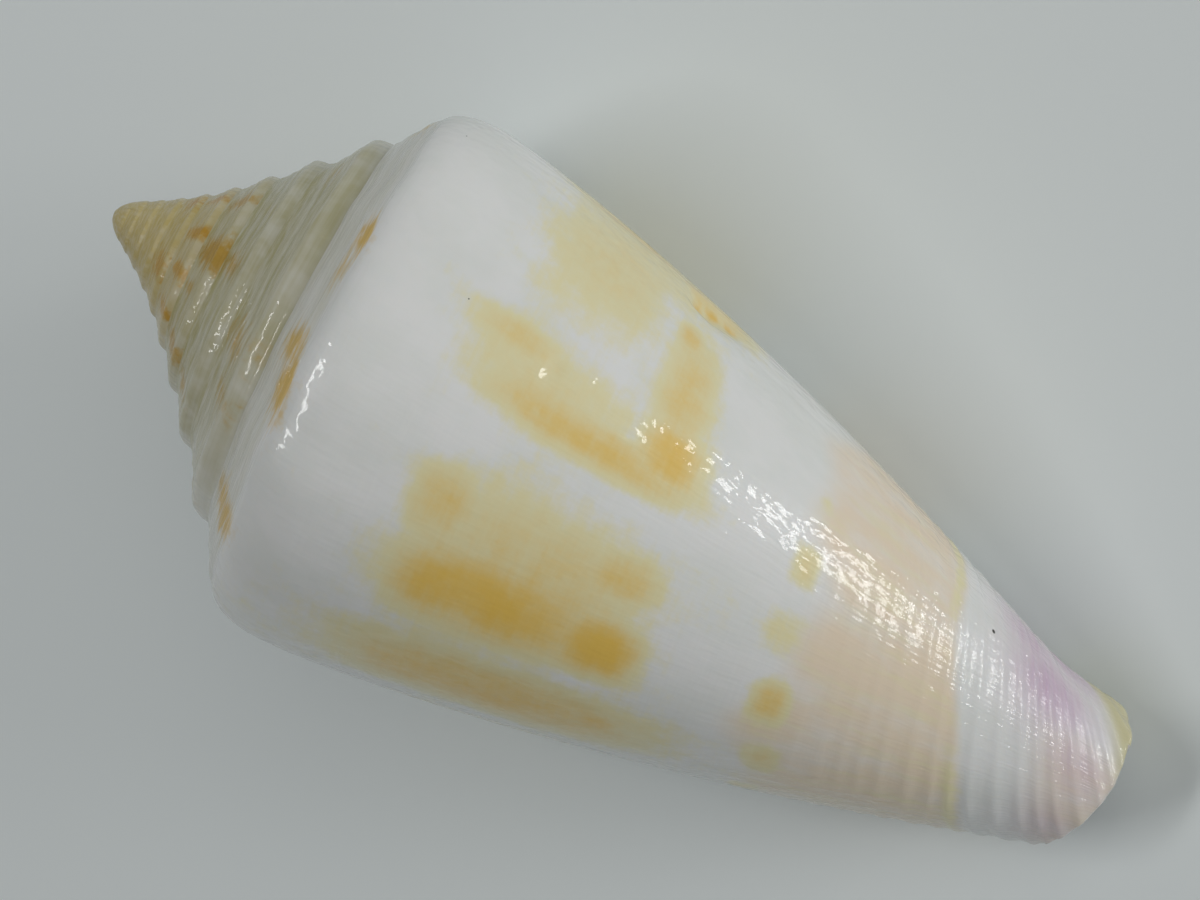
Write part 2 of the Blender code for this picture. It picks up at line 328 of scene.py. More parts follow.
# How noise shapes the colours: a value eases from the first number to the second, and the result from
# the third to the fourth, or from 0 to 1
ENAMEL_CLOUDS = (0.35, 0.65)
GREEN_LINES = (0.30, 0.65, 0.78, 1.0)
GREEN_CLOUDS = (0.30, 0.65, 0.62, 1.0)
CREAM_CLOUDS = (0.3, 0.7, 0.75, 1.0)
TAN_CLOUDS = (0.25, 0.6, 0.45, 1.0)
TAN_STREAKS = (0.45, 0.70, 0.0, 0.45)
VIOLET_LINES = (0.35, 0.65, 0.78, 1.0)
FLAME_COVER = (0.12, 0.70)
FLAME_EDGE = (0.0, 0.12)
MARK_COVER = (0.06, 0.34)
MARK_DEPTH = (0.25, 0.95)
SPECK_EDGE = (0.6, 1.3)
COAT_FINE_SHARE = (0.06, 0.90)

# Shares of what is added up: the flames' density with clouds, streaks and blotches less their middle;
# streaks, lines, blotches and clouds at the edge of a mark, less the middle of their sum; and close
# lines and scratches in the fine bumps
FLAME_SHARES = (0.95, 1.1, 0.4, 1.1)
NOISE_MIDDLE = 0.5
MARK_SHARES = (0.08, 0.12, 0.36, 0.30)
MARK_MIDDLE = 0.43
FINE_SHARES = (0.6, 0.4)

# Gloss of the shell: porcelain under a clear coat, with a little light let in, its depth in millimetres
SPECULAR_LEVEL = 0.3
COAT_WEIGHT = 0.6
COAT_ROUGHNESS = 0.06
SUBSURFACE_WEIGHT = 0.12
SUBSURFACE_RADIUS = (1.0, 0.75, 0.55)
SUBSURFACE_DEPTH = 1.0

# Stage, in metres: two large lights that leave no glint, a tall low window, a small light off the front
# end, and a small light over the spire
FLOOR_REACH = 1.5
FLOOR_ROUGHNESS = 0.9
AIM_HEIGHT = 0.006
SOFT_PLACE = (0.040, 0.200, 0.345)
SOFT_SIZE = (0.30, 0.30)
SIDE_PLACE = (0.215, 0.290, 0.135)
SIDE_SIZE = (0.25, 0.25)
WINDOW_PLACE = (0.2526, 0.2922, 0.0650)
WINDOW_SIZE = (0.045, 0.135)
WINDOW_LEAN = math.radians(-36.0)
FRONT_PLACE = (0.298, 0.2458, 0.0834)
FRONT_SIZE = (0.08, 0.10)
GLINT_PLACE = (-0.158, -0.028, 0.307)
GLINT_SIZE = (0.19, 0.035)


def eased_share(value, start, end):
    """0 before start and 1 past end, by three times its square less twice its cube."""
    share = np.clip((value - start) / (end - start), 0.0, 1.0)
    return share * share * (3 - 2 * share)


def wave(turns):
    """A sine wave of the number of turns."""
    return np.sin(2 * np.pi * turns)


def groove(turns):
    """A groove for each turn, from 0 to 1 and back: half of one less the cosine."""
    return 0.5 - 0.5 * np.cos(2 * np.pi * turns)


def bell(value, reach):
    """1 at zero and falling away: the exponential of minus the square of value over reach."""
    return np.exp(-((value / reach) ** 2))


def body_radius(turn):
    """Largest radius of the whorl: it grows by the same factor each turn."""
    return BODY_RADIUS * RADIUS_GROWTH**turn


def shoulder(turn):
    """Radius and height of the shoulder ridge: the height is a power of the radius, less a bell at
    the apex that makes the first whorl blunt."""
    radius = SHOULDER_SHARE * body_radius(turn)
    height = SPIRE_SLOPE * radius**SPIRE_POWER
    return radius, height - APEX_DEPTH * bell(radius, APEX_RADIUS)


def side_share(turn, height):
    """Share of the way from shoulder, 0, to base, 1."""
    top = shoulder(turn)[1]
    return (height - top) / (BASE_HEIGHT * LENGTH_GROWTH**turn - top)


def side_radius(turn, height):
    """Radius of the winding sheet: a parabola of the share, rounded in by a fading exponential at
    the shoulder."""
    v = side_share(turn, height)
    straight = SIDE_LEVEL - SIDE_TAPER * v - SIDE_BULGE * v * v
    rounded = 1 - SHOULDER_ROUND * np.exp(-v / SHOULDER_REACH)
    return body_radius(turn) * np.maximum(straight, 0.0) * rounded


def pillar_radius(turn, height):
    """Radius of the pillar: a taper, thinner in the aperture, with an end rounded as a superellipse
    except where the canal opens."""
    full = eased_share(turn, PILLAR_THIN_TURN, PILLAR_FULL_TURN)
    radius = PILLAR_RADIUS - PILLAR_TAPER * (height - PILLAR_HEIGHT)
    radius = radius * (PILLAR_THIN_SHARE + (1 - PILLAR_THIN_SHARE) * full)
    past = np.clip(1 - (PILLAR_TIP - height) / PILLAR_ROUND_LENGTH, 0.0, 1.0)
    past = past * (1 - eased_share(turn, CANAL_ROUND_TURN, CANAL_OPEN_TURN))
    return radius * (1 - past**PILLAR_ROUND_POWER) ** (1 / PILLAR_ROUND_POWER)


def outer_radius(turn, height):
    """The wider of sheet and pillar, by their mean and the root of their halved gap squared plus a
    small square, which leaves a soft hollow where they meet."""
    sheet = side_radius(turn, height)
    pillar = pillar_radius(turn, height)
    return (sheet + pillar) / 2 + np.sqrt(((sheet - pillar) / 2) ** 2 + (PILLAR_BLEND / 2) ** 2)


def wall(turn):
    """Thickness of the wall, from the lip's to the deep one in a straight line of the turn."""
    return LIP_WALL + (DEEP_WALL - LIP_WALL) * np.clip(-turn / SLIT_DEPTH, 0.0, 1.0)


def margin_height(turn):
    """Height at which the sheet ends: a parabola of the turn, kept up where whorls fill the end."""
    height = MARGIN_PEAK - MARGIN_DROP * (turn - MARGIN_PEAK_TURN) ** 2
    return np.where(turn < MARGIN_PEAK_TURN, np.maximum(height, MARGIN_FILLED_LEAST), height)


def suture_point(turn):
    """Where the next whorl joins this one, a step below the shoulder."""
    radius, height = shoulder(turn)
    height = height + STEP_SHARE * radius
    return side_radius(turn, height), height


def ramp_rows(turn):
    """The ramp from suture to shoulder: a straight line set in by half a sine wave. In the first
    turn it starts from the apex and is domed."""
    radius, height = shoulder(turn)
    first = turn < 1 - SPIRE_TURNS - 0.5 / TURN_COLUMNS
    start_radius, start_height = suture_point(turn - 1)
    start_radius = np.where(first, 0.0, start_radius)
    start_height = np.where(first, 0.0, start_height)
    depth = np.where(first, -APEX_DOME, RAMP_HOLLOW)
    share = np.arange(RAMP_ROW) / RAMP_ROW
    length = np.hypot(radius - start_radius, height - start_height)
    heights = start_height + share * (height - start_height)
    heights = heights + depth * length * np.sin(np.pi * share)
    return start_radius + share * (radius - start_radius), heights


def step_rows(turn):
    """The short step from the shoulder to the next suture, at even heights on the side."""
    radius, top = shoulder(turn)
    heights = top + np.linspace(0, STEP_SHARE, SUTURE_ROW - RAMP_ROW + 1) * radius
    joined = turn >= PILLAR_FROM_TURN
    return np.where(joined, outer_radius(turn, heights), side_radius(turn, heights)), heights


def side_rows(turn):
    """The side from the suture to the margin: even heights over the joined wall, then heights that
    crowd towards the front end by a parabola."""
    joined = suture_point(turn)[1]
    inner = joined + SUTURE_WALL_SHARE * wall(turn + 1)
    held = joined + np.linspace(0, 1, INNER_SUTURE_ROW - SUTURE_ROW + 1)[1:] * (inner - joined)
    share = np.linspace(0, 1, MARGIN_ROW - INNER_SUTURE_ROW + 1)[1:]
    share = share + FRONT_CROWDING * share * (1 - share)
    free = inner + share * (margin_height(turn) - inner)
    heights = np.concatenate([held, free], axis=1)
    return outer_radius(turn, heights), heights


def front_rows(radius, height):
    """From the margin round the front end to the axis, as a quarter of a superellipse."""
    angle = np.linspace(0, np.pi / 2, POLE_ROW - MARGIN_ROW + 1)[1:]
    rounded = 1 - (1 - np.cos(angle)) ** (PILLAR_ROUND_POWER / 2)
    return radius * rounded, height + (PILLAR_TIP - height) * np.sin(angle)


def outward(radius, height):
    """Unit normal of each profile: the slope along its rows, turned a quarter."""
    along_radius = np.gradient(radius, axis=1)
    along_height = np.gradient(height, axis=1)
    length = np.maximum(np.hypot(along_radius, along_height), SHORTEST)
    return along_height / length, -along_radius / length


def soft_marks(turn, share, marks, power):
    """The strongest of several soft marks, each its strength times the exponential of minus the sum
    of two powers: distance in turns and distance in share, each over the mark's half size."""
    density = np.zeros(np.broadcast(turn, share).shape)
    for middle, spot, width, length, strength in marks:
        away = np.abs((turn - middle) / width) ** power + np.abs((share - spot) / length) ** power
        density = np.maximum(density, strength * np.exp(-away))
    return density


def relief(turn, share, thread_depth):
    """Depth of the fine form below the smooth sheet, in millimetres: cosine threads near the front
    end and on the ramps, slow sine folds along the growth lines, and round dents."""
    size = body_radius(turn) / BODY_RADIUS
    lean = share - THREAD_LEAN * turn
    lean = lean + THREAD_DRIFT * wave(THREAD_DRIFT_WAVES * lean)
    wide = groove(BASE_THREADS * lean)
    fine = groove(2 * BASE_THREADS * lean)
    threads = (wide + FINE_THREAD_SHARE * fine) / (1 + FINE_THREAD_SHARE)
    depth = thread_depth * threads * eased_share(share, BASE_THREADS_FROM, BASE_THREADS_FULL)
    depth = depth + RAMP_THREAD_DEPTH * size * groove(RAMP_THREADS * share) * (share < 0)
    folds = FOLD_COUNT * turn
    for swing, waves in FOLD_WAVES:
        folds = folds + swing * wave(waves * turn)
    near = bell(np.maximum(share, 0.0), FOLD_REACH)
    depth = depth + FOLD_DEPTH * size * near * (0.5 - 0.5 * wave(folds))
    around = 2 * np.pi * side_radius(turn, shoulder(turn)[1] + share * SIDE_LENGTH)
    along = BASE_HEIGHT * LENGTH_GROWTH**turn - shoulder(turn)[1]
    for middle, spot, deep, reach in SCAR_DENTS:
        away = ((turn - middle) * around / reach) ** 2 + ((share - spot) * along / reach) ** 2
        depth = depth + deep * np.exp(-away)
    return depth


def growth_share(turn, height):
    """Second growth coordinate: from -1 at the suture to 0 at the shoulder, then the side share."""
    share = side_share(turn, height)
    share[:, :RAMP_ROW] = np.arange(RAMP_ROW) / RAMP_ROW - 1
    return share


def place(turn, radius, height):
    """Turns each profile about the axis by its growth, tilts the axis, and gives x, y and z."""
    angle = 2 * np.pi * (turn + SIDE_TURN)
    across = radius * np.cos(angle)
    up = radius * np.sin(angle)
    along = height * math.cos(AXIS_TILT) + up * math.sin(AXIS_TILT)
    raised = up * math.cos(AXIS_TILT) - height * math.sin(AXIS_TILT)
    return np.stack([along, across, raised], axis=-1)


def turns_of(first, last):
    """The turns of growth of the columns from first to last, as one column of an array."""
    return ((np.arange(first, last + 1) - LAST) / TURN_COLUMNS)[:, None]


def rounded_ridge(turn, values):
    """Rounds the shoulder ridge: repeated averages of neighbouring rows, weighted by a parabola
    about the ridge's row. The weight is largest on the last whorl's seen part, and zero beyond
    the suture where another whorl covers the rest."""
    row = np.arange(values.shape[1])
    last = eased_share(turn, *RIDGE_SETS_IN) * (1 - eased_share(turn, *RIDGE_FADES))
    weight = 0.5 * (EARLY_RIDGE + (1 - EARLY_RIDGE) * last)
    weight = weight * np.clip(1 - ((row - RAMP_ROW) / RIDGE_ROWS) ** 2, 0.0, 1.0)
    weight = weight * np.where(row < SUTURE_ROW, 1.0, eased_share(turn, *HELD_RIDGE_SETS_IN))
    for _ in range(RIDGE_PASSES):
        padded = np.concatenate([values[:, :1], values, values[:, -1:]], axis=1)
        values = values + weight * ((padded[:, :-2] + padded[:, 2:]) / 2 - values)
    return values


def smooth_profiles(turn):
    """Radius, height and second growth coordinate of the smooth sheet, ramp to margin."""
    parts = [ramp_rows(turn), step_rows(turn), side_rows(turn)]
    radius = np.concatenate([part[0] for part in parts], axis=1)
    height = np.concatenate([part[1] for part in parts], axis=1)
    return radius, height, growth_share(turn, height)


def outer_profiles(turn, thread_depth):
    """The same for the outer face: its ridge is rounded, and its fine form set in along the normals."""
    radius, height, share = smooth_profiles(turn)
    depth = relief(turn, share, thread_depth)
    depth[:, 0] = 0.0
    radius, height = rounded_ridge(turn, radius), rounded_ridge(turn, height)
    out_radius, out_height = outward(radius, height)
    return radius - depth * out_radius, height - depth * out_height, share


def spire_profiles(turn, thread_depth):
    """The same for the spire's whorls, cut off at the suture."""
    radius, height, share = outer_profiles(turn, thread_depth)
    kept = np.s_[:, : SUTURE_ROW + 1]
    return radius[kept], height[kept], share[kept]


def cavity_profiles(turn):
    """The cavity side of the sheet: the smooth outer profile set in by the wall along its normals,
    which are smoothed by repeated averages of neighbours."""
    radius, height, share = smooth_profiles(turn)
    normal = np.stack(outward(radius, height), axis=-1)
    for _ in range(NORMAL_PASSES):
        padded = np.concatenate([normal[:, :1], normal, normal[:, -1:]], axis=1)
        normal = (padded[:, :-2] + 2 * normal + padded[:, 2:]) / 4
        normal /= np.linalg.norm(normal, axis=-1, keepdims=True)
    front = eased_share(height, FRONT_WALL_FROM, FRONT_WALL_TO)
    thickness = wall(turn) * (1 - (1 - FRONT_WALL_SHARE) * front)
    return radius - thickness * normal[..., 0], height - thickness * normal[..., 1], share


class Sheet:
    """Blocks of vertices, and faces between them with growth coordinates at each corner."""

    def __init__(self):
        self.points = []
        self.count = 0
        self.corners = []
        self.growth = []

    def add(self, points):
        """Adds a grid of points and returns their numbers in the same grid."""
        shape = points.shape[:-1]
        numbers = np.arange(self.count, self.count + int(np.prod(shape))).reshape(shape)
        self.points.append(points.reshape(-1, 3))
        self.count += numbers.size
        return numbers

    def grid(self, numbers, turn, share, inside):
        """Faces of a grid of vertices, whose columns follow growth and whose rows go forward."""
        facts = np.stack(np.broadcast_arrays(turn, share, inside), axis=-1).astype(float)
        around = (np.s_[:-1, :-1], np.s_[1:, :-1], np.s_[1:, 1:], np.s_[:-1, 1:])
        self.corners.append(np.stack([numbers[part] for part in around], axis=-1).reshape(-1, 4))
        self.growth.append(np.stack([facts[part] for part in around], axis=-2).reshape(-1, 4, 3))


def outer_faces(sheet, thread_depth):
    """Adds the outer face and returns the numbers of its vertices, by column and row."""
    numbers = np.full((LAST + 1, POLE_ROW + 1), -1)
    apex = sheet.add(place(np.zeros((1, 1)), np.zeros((1, 1)), np.zeros((1, 1))))
    pole = sheet.add(place(np.zeros((1, 1)), np.zeros((1, 1)), np.full((1, 1), PILLAR_TIP)))

    turn = turns_of(0, LAST)
    radius, height, spire_share = spire_profiles(turn, thread_depth)
    spire = place(turn, radius, height)
    numbers[:, 1 : SUTURE_ROW + 1] = sheet.add(spire[:, 1:])
    numbers[:TURN_COLUMNS, 0] = apex[0, 0]
    numbers[TURN_COLUMNS:, 0] = numbers[:-TURN_COLUMNS, SUTURE_ROW]
    sheet.grid(numbers[:, : SUTURE_ROW + 1], turn, spire_share, 0.0)

    turn = turns_of(FIRST_INNER, LAST)
    radius, height, share = outer_profiles(turn, thread_depth)
    side = place(turn, radius, height)
    held = BODY_START - FIRST_INNER
    kept = slice(SUTURE_ROW + 1, INNER_SUTURE_ROW)
    numbers[BODY_START:, kept] = sheet.add(side[held:, kept])
    numbers[FIRST_INNER:, INNER_SUTURE_ROW : MARGIN_ROW + 1] = sheet.add(side[:, INNER_SUTURE_ROW:])
    body = np.s_[BODY_START:, SUTURE_ROW : MARGIN_ROW + 1]
    sheet.grid(numbers[body], turn[held:], share[held:, SUTURE_ROW:], 0.0)
    hidden = np.s_[FIRST_INNER : BODY_START + 1, INNER_SUTURE_ROW : MARGIN_ROW + 1]
    sheet.grid(numbers[hidden], turn[: held + 1], share[: held + 1, INNER_SUTURE_ROW:], 1.0)

    last_front = SLIT_START - FIRST_INNER + 1
    turn = turn[:last_front]
    margin = radius[:last_front, -1:], height[:last_front, -1:]
    radius, height = front_rows(*margin)
    front = place(turn, radius, height)
    numbers[FIRST_INNER : SLIT_START + 1, MARGIN_ROW + 1 : POLE_ROW] = sheet.add(front[:, :-1])
    numbers[FIRST_INNER : SLIT_START + 1, POLE_ROW] = pole[0, 0]
    front_share = np.concatenate([share[:last_front, -1:], side_share(turn, height)], axis=1)
    sheet.grid(numbers[FIRST_INNER : SLIT_START + 1, MARGIN_ROW:], turn, front_share, 0.0)
    return numbers


def cavity_faces(sheet, numbers):
    """Adds the inside of the aperture, its rounded lip and front edge, and the end of the slit."""
    turn = turns_of(SLIT_START, LAST)
    radius, height, share = cavity_profiles(turn)
    points = place(turn, radius, height)
    inner = np.empty((len(turn), MARGIN_ROW + 1), int)
    inner[:, 1:] = sheet.add(points[:, 1:])
    before = np.s_[SLIT_START - TURN_COLUMNS : LAST - TURN_COLUMNS + 1]
    inner[:, 0] = numbers[before, INNER_SUTURE_ROW]

    known = np.concatenate(sheet.points)
    onward = place(np.array(1 / TURN_COLUMNS), 1.0, 0.0) - place(np.array(0.0), 1.0, 0.0)
    onward = onward * LIP_ROUND / np.linalg.norm(onward)
    lip = np.empty(MARGIN_ROW + 1, int)
    lip[0] = numbers[BODY_START, SUTURE_ROW + 1]
    lip[1:] = sheet.add((known[numbers[LAST, 1 : MARGIN_ROW + 1]] + known[inner[-1, 1:]]) / 2 + onward)

    known = np.concatenate(sheet.points)
    forward = place(np.array(0.0), 0.0, LIP_ROUND)
    lift = eased_share(turn, turn[0], turn[0] + EDGE_EASE) * forward
    outer_edge = numbers[SLIT_START:, MARGIN_ROW]
    middles = (known[outer_edge] + known[inner[:, -1]]) / 2 + lift
    edge = np.append(sheet.add(middles[:-1]), lip[-1])

    sheet.grid(inner[::-1], turn[::-1], share[::-1], 1.0)
    lips = np.stack([numbers[LAST, : MARGIN_ROW + 1], lip, inner[-1]])
    inside = np.array([[0.0], [0.5], [1.0]])
    sheet.grid(lips, np.zeros((3, 1)), share[-1:], inside)
    edges = np.stack([outer_edge, edge, inner[:, -1]], axis=1)
    sheet.grid(edges, turn, np.repeat(share[:, -1:], 3, axis=1), inside.T)

    left = np.concatenate([inner[0], edge[:1], numbers[SLIT_START, MARGIN_ROW:]])
    held = np.maximum(np.arange(MARGIN_ROW + 1), INNER_SUTURE_ROW)
    rows = np.concatenate([held, [MARGIN_ROW], np.arange(MARGIN_ROW, POLE_ROW + 1)])
    right = numbers[SLIT_START - TURN_COLUMNS, rows]
    sheet.grid(np.stack([left, right]), np.full((2, 1), turn[0, 0]), np.ones((1, len(rows))), 1.0)


def start_faces(sheet, numbers):
    """Closes the start of the first whorl with a fan from the apex."""
    rows = numbers[0, : SUTURE_ROW + 1]
    fan = np.stack([np.full(len(rows), rows[0]), rows])
    sheet.grid(fan, np.full((2, 1), -SPIRE_TURNS), np.zeros((1, len(rows))), 0.0)


def faces_of(sheet):
    """Faces as lists of corners, with a repeated corner left out, and the growth of each corner."""
    corners = np.concatenate(sheet.corners)
    growth = np.concatenate(sheet.growth)
    kept = corners != np.roll(corners, 1, axis=1)
    whole = kept.sum(axis=1) > 2
    corners, growth, kept = corners[whole], growth[whole], kept[whole]
    faces = [row[mask].tolist() for row, mask in zip(corners, kept)]
    return faces, growth[kept]


def stains(growth):
    """Four densities at each corner: ochre marks with the stripe, the tan band with the front tip,
    violet stains, and the cavity. The band lies between a start that waves and an end that leans
    with the threads and dips in a bell."""
    turn, share, inside = growth.T
    ochre = soft_marks(turn, share, OCHRE_MARKS, MARK_POWER)
    start = TAN_START
    for swing, waves in TAN_START_WAVES:
        start = start + swing * wave(waves * turn)
    end = TAN_END + THREAD_LEAN * (turn - TAN_END_TURN)
    end = end - TAN_DIP * bell(turn - TAN_DIP_TURN, TAN_DIP_REACH)
    tan = eased_share(share, start - TAN_START_EDGE, start + TAN_START_EDGE)
    tan = tan * (1 - eased_share(share, end, end + TAN_END_EDGE))
    tip = eased_share(share, *TIP_SHARES) * eased_share(turn, *TIP_TURNS)
    tan = np.maximum(tan, TIP_STRENGTH * tip)
    stripe = STRIPE_STRENGTH * bell(share - end, STRIPE_REACH)
    stripe = stripe * (STRIPE_LEVEL + STRIPE_CHANGE * wave(STRIPE_WAVES * turn))
    ochre = np.maximum(ochre, stripe)
    violet = soft_marks(turn, share, VIOLET_MARKS, VIOLET_POWER)
    return np.stack([ochre, tan, violet, inside], axis=1)


def tints(growth):
    """Four densities at each corner: the cream apex, the grey-green spire, deeper in its thread grooves and
    by the suture, partly as painted shade of these hollows, the olive rim, and the flames of the spire."""
    turn, share, _ = growth.T
    cream = 1 - eased_share(turn, *CREAM_FADES)
    green = eased_share(turn, *GREEN_SETS_IN) * (1 - GREEN_FADE * eased_share(turn, *GREEN_FADES))
    green = green * (1 - eased_share(share, *GREEN_RIDGE_SHARES) * eased_share(turn, *GREEN_RIDGE_TURNS))
    green = green * (1 - eased_share(share, *GREEN_SIDE_SHARES) * eased_share(turn, *GREEN_SIDE_TURNS))
    # Greener, and so darker, in the thread grooves and next to the suture: partly painted shade of the
    # hollows
    suture = 1 - eased_share(share, *SUTURE_SHARES)
    deeper = GREEN_LEAST + GREEN_GROOVES * groove(RAMP_THREADS * share) + GREEN_SUTURE * suture
    green = green * np.clip(deeper, 0.0, 1.0)
    rim = eased_share(share, *RIM_SHARES) * eased_share(turn, *RIM_TURNS)
    past = eased_share(share, *FLAME_END_SHARES) * eased_share(turn, *FLAME_END_TURNS)
    flames = soft_marks(turn, share, FLAMES, FLAME_POWER) * (1 - past)
    return np.stack([cream, green, rim, flames], axis=1)


def shell_mesh(thread_depth):
    """The whole closed surface with its growth coordinates and densities."""
    sheet = Sheet()
    numbers = outer_faces(sheet, thread_depth)
    start_faces(sheet, numbers)
    cavity_faces(sheet, numbers)
    faces, growth = faces_of(sheet)
    points = np.concatenate(sheet.points) - [MIDDLE_X, MIDDLE_Y, LOW_LEVEL]
    points[:, 2] = np.maximum(points[:, 2], 0.0)
    mesh = bpy.data.meshes.new("shell_surface")
    mesh.from_pydata((points * MM).tolist(), [], faces)
    mesh.uv_layers.new(name="growth").uv.foreach_set("vector", growth[:, :2].astype("f").ravel())
    for name, values in (("stain", stains(growth)), ("tint", tints(growth))):
        layer = mesh.color_attributes.new(name=name, type="FLOAT_COLOR", domain="CORNER")
        layer.data.foreach_set("color", values.astype("f").ravel())
    mesh.shade_smooth()
    mesh.update()
    return mesh


def feed(tree, socket, value):
    """Joins a socket to another one, or sets its value."""
    if isinstance(value, bpy.types.NodeSocket):
        tree.links.new(value, socket)
    else:
        socket.default_value = value


def maths(tree, operation, first, second):
    """One step of arithmetic."""
    node = tree.nodes.new("ShaderNodeMath")
    node.operation = operation
    feed(tree, node.inputs[0], first)
    feed(tree, node.inputs[1], second)
    return node.outputs[0]


def weighed_sum(tree, values, shares):
    """The sum of values, each times its share."""
    total = 0.0
    for value, share in zip(values, shares):
        total = maths(tree, "ADD", total, maths(tree, "MULTIPLY", value, share))
    return total


def blend_colour(tree, share, first, second, kind="MIX"):
    """Mixes two colours by a share."""
    node = tree.nodes.new("ShaderNodeMix")
    node.data_type = "RGBA"
    node.blend_type = kind
    feed(tree, node.inputs[0], share)
    feed(tree, node.inputs[6], first)
    feed(tree, node.inputs[7], second)
    return node.outputs[2]


def eased_node(tree, value, start, end, low=0.0, high=1.0):
    """Eases a value from low to high between start and end."""
    node = tree.nodes.new("ShaderNodeMapRange")
    node.interpolation_type = "SMOOTHSTEP"
    feed(tree, node.inputs["Value"], value)
    node.inputs["From Min"].default_value = start
    node.inputs["From Max"].default_value = end
    node.inputs["To Min"].default_value = low
    node.inputs["To Max"].default_value = high
    return node.outputs["Result"]


def noise_node(tree, vector, stretch, detail, roughness):
    """Noise stretched by three factors."""
    scaled = tree.nodes.new("ShaderNodeVectorMath")
    scaled.operation = "MULTIPLY"
    feed(tree, scaled.inputs[0], vector)
    scaled.inputs[1].default_value = stretch
    node = tree.nodes.new("ShaderNodeTexNoise")
    feed(tree, node.inputs["Vector"], scaled.outputs[0])
    node.inputs["Scale"].default_value = 1.0
    node.inputs["Detail"].default_value = detail
    node.inputs["Roughness"].default_value = roughness
    return node.outputs["Fac"]


def attribute_node(tree, name):
    """Reads a colour attribute as its three channels and its alpha."""
    node = tree.nodes.new("ShaderNodeAttribute")
    node.attribute_name = name
    parts = tree.nodes.new("ShaderNodeSeparateColor")
    tree.links.new(node.outputs["Color"], parts.inputs["Color"])
    return parts.outputs[0], parts.outputs[1], parts.outputs[2], node.outputs["Alpha"]


def speck(tree, growth, turn, share, reach):
    """A small dark speck: 1 within its reach in share of the side, measured evenly both ways."""
    away = tree.nodes.new("ShaderNodeVectorMath")
    away.operation = "SUBTRACT"
    feed(tree, away.inputs[0], growth)
    away.inputs[1].default_value = (turn, share, 0.0)
    even = tree.nodes.new("ShaderNodeVectorMath")
    even.operation = "MULTIPLY"
    tree.links.new(away.outputs[0], even.inputs[0])
    around = 2 * math.pi * float(side_radius(turn, shoulder(turn)[1] + share * SIDE_LENGTH))
    even.inputs[1].default_value = (around / SIDE_LENGTH, 1.0, 0.0)
    length = tree.nodes.new("ShaderNodeVectorMath")
    length.operation = "LENGTH"
    tree.links.new(even.outputs[0], length.inputs[0])
    return eased_node(tree, length.outputs["Value"], reach * SPECK_EDGE[0], reach * SPECK_EDGE[1], 1.0, 0.0)


def pigment(tree, growth, settings):
    """Colour of the shell: enamel white, ochre marks with streaked edges, the tan band, violet
    stains in stripes, the cream and grey-green spire, the olive rim, specks, and the cavity."""
    ochre, tan, violet, inside = attribute_node(tree, "stain")
    cream, green, rim, flames = attribute_node(tree, "tint")
    streaks = noise_node(tree, growth, *STREAKS)
    lines = noise_node(tree, growth, *LINES)
    clouds = noise_node(tree, growth, *CLOUDS)
    blotches = noise_node(tree, growth, *BLOTCHES)

    cloudy = eased_node(tree, clouds, *ENAMEL_CLOUDS)
    colour = blend_colour(tree, cloudy, settings.enamel, settings.enamel_shade)
    green = maths(tree, "MULTIPLY", green, eased_node(tree, lines, *GREEN_LINES))
    spire_green = maths(tree, "MULTIPLY", green, eased_node(tree, clouds, *GREEN_CLOUDS))
    colour = blend_colour(tree, spire_green, colour, settings.spire_green)
    spire_cream = maths(tree, "MULTIPLY", cream, eased_node(tree, clouds, *CREAM_CLOUDS))
    colour = blend_colour(tree, spire_cream, colour, settings.spire_cream)

    uneven = [maths(tree, "SUBTRACT", noise, NOISE_MIDDLE) for noise in (clouds, streaks, blotches)]
    burnt = eased_node(tree, weighed_sum(tree, (flames, *uneven), FLAME_SHARES), *FLAME_COVER)
    burnt = maths(tree, "MULTIPLY", burnt, eased_node(tree, flames, *FLAME_EDGE))
    colour = blend_colour(tree, burnt, colour, settings.flame, "MULTIPLY")

    warm = maths(tree, "MULTIPLY", tan, eased_node(tree, clouds, *TAN_CLOUDS))
    streaky = eased_node(tree, streaks, *TAN_STREAKS)
    tan_colour = blend_colour(tree, streaky, settings.tan, settings.pale_yellow)
    colour = blend_colour(tree, warm, colour, tan_colour)

    wobble = weighed_sum(tree, (streaks, lines, blotches, clouds), MARK_SHARES)
    rough_edge = maths(tree, "ADD", ochre, maths(tree, "SUBTRACT", wobble, MARK_MIDDLE))
    cover = eased_node(tree, rough_edge, *MARK_COVER)
    depth = eased_node(tree, rough_edge, *MARK_DEPTH)
    yellow = blend_colour(tree, depth, settings.pale_yellow, settings.ochre)
    colour = blend_colour(tree, cover, colour, yellow)

    stained = maths(tree, "MULTIPLY", violet, eased_node(tree, lines, *VIOLET_LINES))
    colour = blend_colour(tree, stained, colour, settings.violet)
    colour = blend_colour(tree, rim, colour, settings.rim)
    colour = blend_colour(tree, inside, colour, settings.cavity)
    for spot in SPECKS:
        colour = blend_colour(tree, speck(tree, growth, *spot), colour, settings.speck)
    return colour


def bump_node(tree, height, distance):
    """A bump of a height field, with its depth in millimetres."""
    node = tree.nodes.new("ShaderNodeBump")
    node.inputs["Strength"].default_value = 1.0
    node.inputs["Distance"].default_value = distance * MM
    tree.links.new(height, node.inputs["Height"])
    return node.outputs["Normal"]


